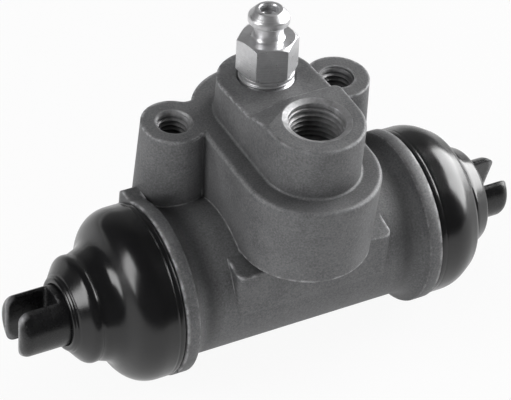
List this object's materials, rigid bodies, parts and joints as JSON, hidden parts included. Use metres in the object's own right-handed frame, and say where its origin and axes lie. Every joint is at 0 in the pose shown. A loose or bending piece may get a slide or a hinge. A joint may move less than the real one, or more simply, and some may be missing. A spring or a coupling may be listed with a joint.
{
  "type": "drum brake wheel cylinder",
  "caption": "Cast iron drum brake wheel cylinder with rubber boots, slotted push rods, a bleeder screw, a threaded inlet port and threaded mounting bosses.",
  "frame": {"origin": "midway between the axes of the two mounting bolts, on the mounting face", "axes": "+X along the bore, towards the end without a lug on its collar; +Y from the bore's axis to the bolts' side, where the bleeder screw is; +Z out of the mounting face, along the bolts"},
  "size_m": [0.0978, 0.0423, 0.0629],
  "materials": {
    "cast_iron": "matte",
    "bright_steel": "bright zinc",
    "spring_steel": "satin",
    "aluminium": "turned",
    "pressed_steel": "satin",
    "black_steel": "satin",
    "cup_rubber": "matte",
    "boot_rubber": "glossy"
  },
  "bodies": {
    "cylinder": {"cylinder_body": "cast_iron", "left_boot": "boot_rubber", "right_boot": "boot_rubber", "return_spring": "spring_steel"},
    "left_plunger": {"left_piston": "aluminium", "left_piston_cup": "cup_rubber", "left_cup_expander": "pressed_steel", "left_push_rod": "black_steel"},
    "right_plunger": {"right_piston": "aluminium", "right_piston_cup": "cup_rubber", "right_cup_expander": "pressed_steel", "right_push_rod": "black_steel"},
    "bleeder": {"bleeder_screw": "bright_steel"}
  },
  "joints": [
    {"name": "left_piston_slide", "type": "slide", "parent": "cylinder", "child": "left_plunger", "axis": [-1, 0, 0], "range_m": [-0.006, 0.0042], "deforming": ["left_boot", "return_spring"]},
    {"name": "right_piston_slide", "type": "slide", "parent": "cylinder", "child": "right_plunger", "axis": [1, 0, 0], "range_m": [-0.0012, 0.009], "deforming": ["right_boot", "return_spring"]},
    {"name": "bleeder_turn", "type": "hinge", "parent": "cylinder", "child": "bleeder", "pos_m": [0, -0.00235, 0.00715], "axis": [0, 0.0872, 0.9962], "range_deg": [0, 360]}
  ]
}
